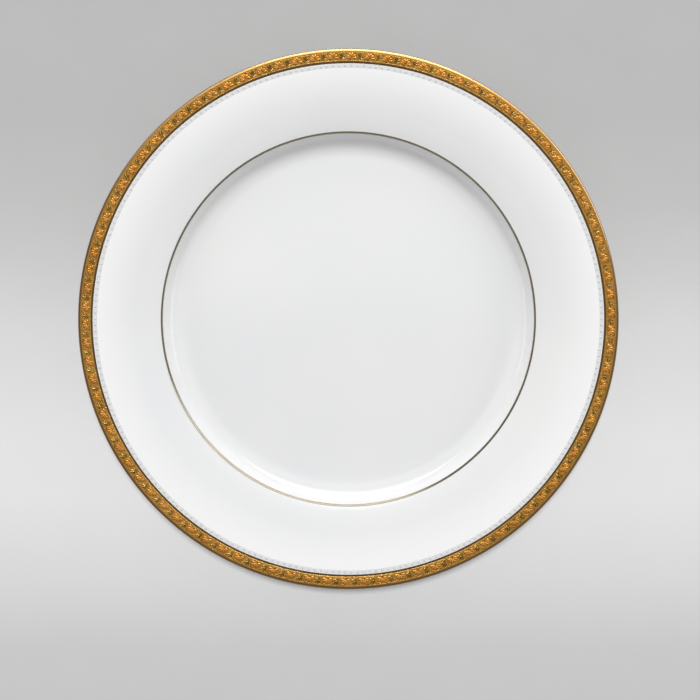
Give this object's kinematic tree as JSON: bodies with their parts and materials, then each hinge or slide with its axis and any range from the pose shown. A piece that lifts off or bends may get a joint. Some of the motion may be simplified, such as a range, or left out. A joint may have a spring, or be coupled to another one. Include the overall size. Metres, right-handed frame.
{
  "type": "dinner plate",
  "caption": "Round white china dinner plate with a broad rim, a flat well, a gold relief band round the edge, a ring of small dots and a fine gold line at the well.",
  "frame": {"origin": "centre of the foot ring's resting plane, which is the centre of the bottom of the bounding box", "axes": "+Z is the plate's axis and points up out of the well; the plate is the same all round, so X and Y lie level in any direction"},
  "size_m": [0.267, 0.267, 0.0208],
  "materials": {
    "bisque": "matt, bare fired china where the foot ring was wiped clean of glaze",
    "white_glaze": "high-gloss clear glaze over white china",
    "relief_gold": "fired gold with a low raised pattern of flowers and scrolls, matt in its ground and burnished on its high parts",
    "bright_gold": "bright fired gold",
    "dark_enamel": "dark brown fired enamel line",
    "dot_enamel": "pale grey-green fired enamel"
  },
  "bodies": {
    "root": {"porcelain_body": "bisque", "outer_glaze": "white_glaze", "base_glaze": "white_glaze", "gold_band": "relief_gold", "lip_gilding": "bright_gold", "band_inner_line": "dark_enamel", "dot_border": "dot_enamel", "verge_line": "bright_gold"}
  },
  "joints": []
}
